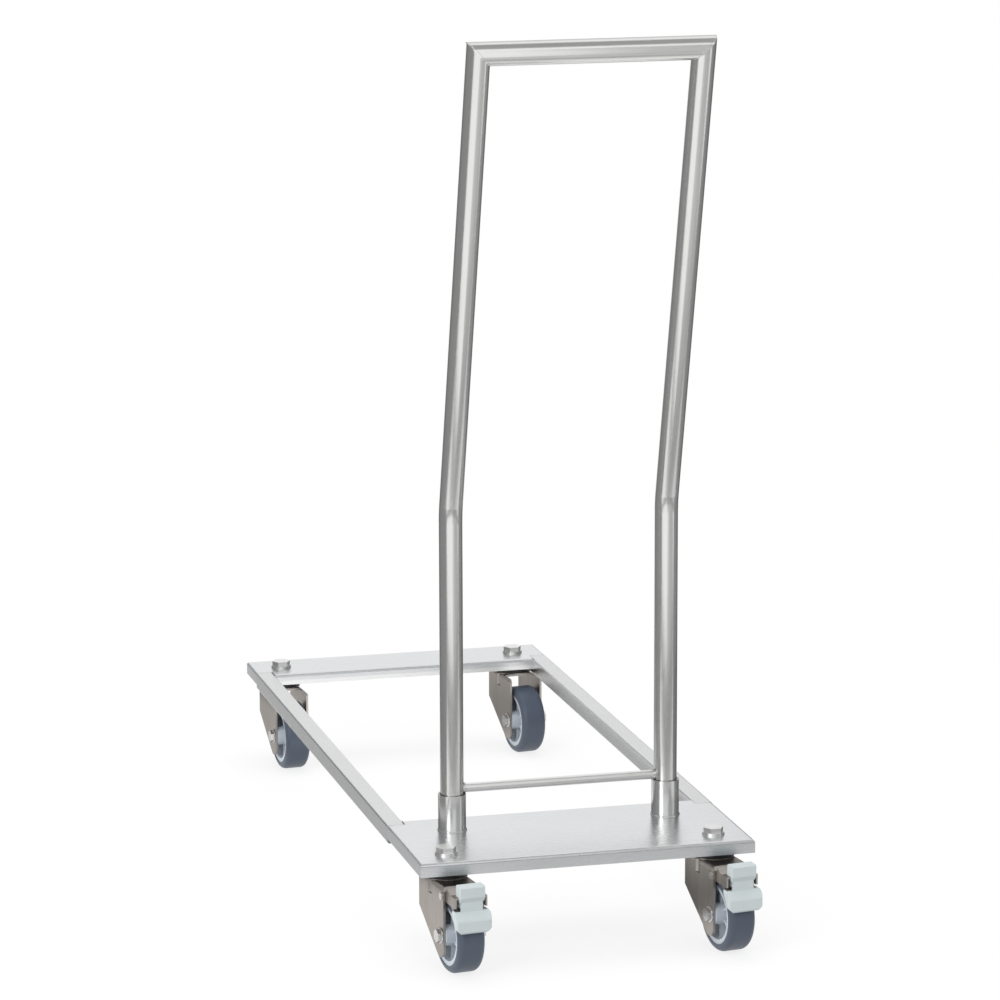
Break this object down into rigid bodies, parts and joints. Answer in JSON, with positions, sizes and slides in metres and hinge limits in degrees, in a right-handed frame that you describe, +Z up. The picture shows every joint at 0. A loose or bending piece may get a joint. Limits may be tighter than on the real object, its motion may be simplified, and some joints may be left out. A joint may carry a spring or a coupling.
{
  "type": "transport trolley",
  "caption": "Low stainless steel trolley that moves combi oven racks: an open rectangular base on swivel casters, brakes at the push end, with a tall leaning tube handle.",
  "frame": {"origin": "centre of the whole outline on the floor under the wheels", "axes": "+Z up; -Y towards the operator and the handle; +X to the right of the operator"},
  "size_m": [0.366, 0.9696, 0.976],
  "materials": {
    "base_steel": "brushed stainless sheet and square tube",
    "handle_steel": "ground and satin polished stainless tube",
    "fork_steel": "pressed stainless sheet, slightly warm",
    "fastener_steel": "bright stainless fasteners",
    "cap_black": "black dust cap of the swivel bearing",
    "bush_plastic": "plain bearing bush",
    "core_plastic": "light grey moulded wheel core",
    "tyre": "blue-grey soft tread",
    "pedal_plastic": "pale grey-green moulded pedal"
  },
  "bodies": {
    "base": {"front_deck": "base_steel", "rear_deck": "base_steel", "left_rail": "base_steel", "right_rail": "base_steel", "rail_end_caps": "base_steel", "front_caster_bar": "base_steel", "rear_caster_bar": "base_steel", "left_socket": "handle_steel", "right_socket": "handle_steel", "caster_bolts": "fastener_steel", "caster_washers": "fastener_steel", "king_pins": "fastener_steel", "front_left_swivel_cap": "cap_black", "front_right_swivel_cap": "cap_black", "rear_left_swivel_cap": "cap_black", "rear_right_swivel_cap": "cap_black"},
    "handle": {"left_upright": "handle_steel", "right_upright": "handle_steel", "top_bar": "handle_steel", "cross_bar": "handle_steel"},
    "front_left_caster": {"front_left_swivel_balls": "fastener_steel", "front_left_fork": "fork_steel", "front_left_axle_bolt": "fastener_steel", "front_left_axle_nut": "fastener_steel", "front_left_axle_tube": "fastener_steel", "front_left_brake_pin": "fastener_steel"},
    "front_left_wheel": {"front_left_wheel_bush": "bush_plastic", "front_left_wheel_core": "core_plastic", "front_left_tyre": "tyre"},
    "front_right_caster": {"front_right_swivel_balls": "fastener_steel", "front_right_fork": "fork_steel", "front_right_axle_bolt": "fastener_steel", "front_right_axle_nut": "fastener_steel", "front_right_axle_tube": "fastener_steel", "front_right_brake_pin": "fastener_steel"},
    "front_right_wheel": {"front_right_wheel_bush": "bush_plastic", "front_right_wheel_core": "core_plastic", "front_right_tyre": "tyre"},
    "rear_left_caster": {"rear_left_swivel_balls": "fastener_steel", "rear_left_fork": "fork_steel", "rear_left_axle_bolt": "fastener_steel", "rear_left_axle_nut": "fastener_steel", "rear_left_axle_tube": "fastener_steel"},
    "rear_left_wheel": {"rear_left_wheel_bush": "bush_plastic", "rear_left_wheel_core": "core_plastic", "rear_left_tyre": "tyre"},
    "rear_right_caster": {"rear_right_swivel_balls": "fastener_steel", "rear_right_fork": "fork_steel", "rear_right_axle_bolt": "fastener_steel", "rear_right_axle_nut": "fastener_steel", "rear_right_axle_tube": "fastener_steel"},
    "rear_right_wheel": {"rear_right_wheel_bush": "bush_plastic", "rear_right_wheel_core": "core_plastic", "rear_right_tyre": "tyre"},
    "front_left_brake": {"front_left_brake_lever": "fork_steel", "front_left_brake_pedal": "pedal_plastic"},
    "front_right_brake": {"front_right_brake_lever": "fork_steel", "front_right_brake_pedal": "pedal_plastic"}
  },
  "joints": [
    {"name": "handle_lift", "type": "slide", "parent": "base", "child": "handle", "axis": [0, 0, 1], "range_m": [0, 0.05]},
    {"name": "front_left_swivel", "type": "hinge", "parent": "base", "child": "front_left_caster", "pos_m": [-0.147, -0.40021, 0.1], "axis": [0, 0, 1], "continuous": true},
    {"name": "front_left_roll", "type": "hinge", "parent": "front_left_caster", "child": "front_left_wheel", "pos_m": [-0.14249, -0.43693, 0.041], "axis": [0.9925, 0.1219, 0], "continuous": true},
    {"name": "front_left_brake_press", "type": "hinge", "parent": "front_left_caster", "child": "front_left_brake", "pos_m": [-0.142, -0.4409, 0.085], "axis": [0.9925, 0.1219, 0], "range_deg": [0, 4]},
    {"name": "front_right_swivel", "type": "hinge", "parent": "base", "child": "front_right_caster", "pos_m": [0.147, -0.40021, 0.1], "axis": [0, 0, 1], "continuous": true},
    {"name": "front_right_roll", "type": "hinge", "parent": "front_right_caster", "child": "front_right_wheel", "pos_m": [0.15215, -0.43685, 0.041], "axis": [0.9903, 0.1392, 0], "continuous": true},
    {"name": "front_right_brake_press", "type": "hinge", "parent": "front_right_caster", "child": "front_right_brake", "pos_m": [0.15271, -0.44081, 0.085], "axis": [0.9903, 0.1392, 0], "range_deg": [0, 4]},
    {"name": "rear_left_swivel", "type": "hinge", "parent": "base", "child": "rear_left_caster", "pos_m": [-0.147, 0.44979, 0.1], "axis": [0, 0, 1], "continuous": true},
    {"name": "rear_left_roll", "type": "hinge", "parent": "rear_left_caster", "child": "rear_left_wheel", "pos_m": [-0.14442, 0.41288, 0.041], "axis": [0.9976, 0.0698, 0], "continuous": true},
    {"name": "rear_right_swivel", "type": "hinge", "parent": "base", "child": "rear_right_caster", "pos_m": [0.147, 0.44979, 0.1], "axis": [0, 0, 1], "continuous": true},
    {"name": "rear_right_roll", "type": "hinge", "parent": "rear_right_caster", "child": "rear_right_wheel", "pos_m": [0.15151, 0.41307, 0.041], "axis": [0.9925, 0.1219, 0], "continuous": true}
  ]
}
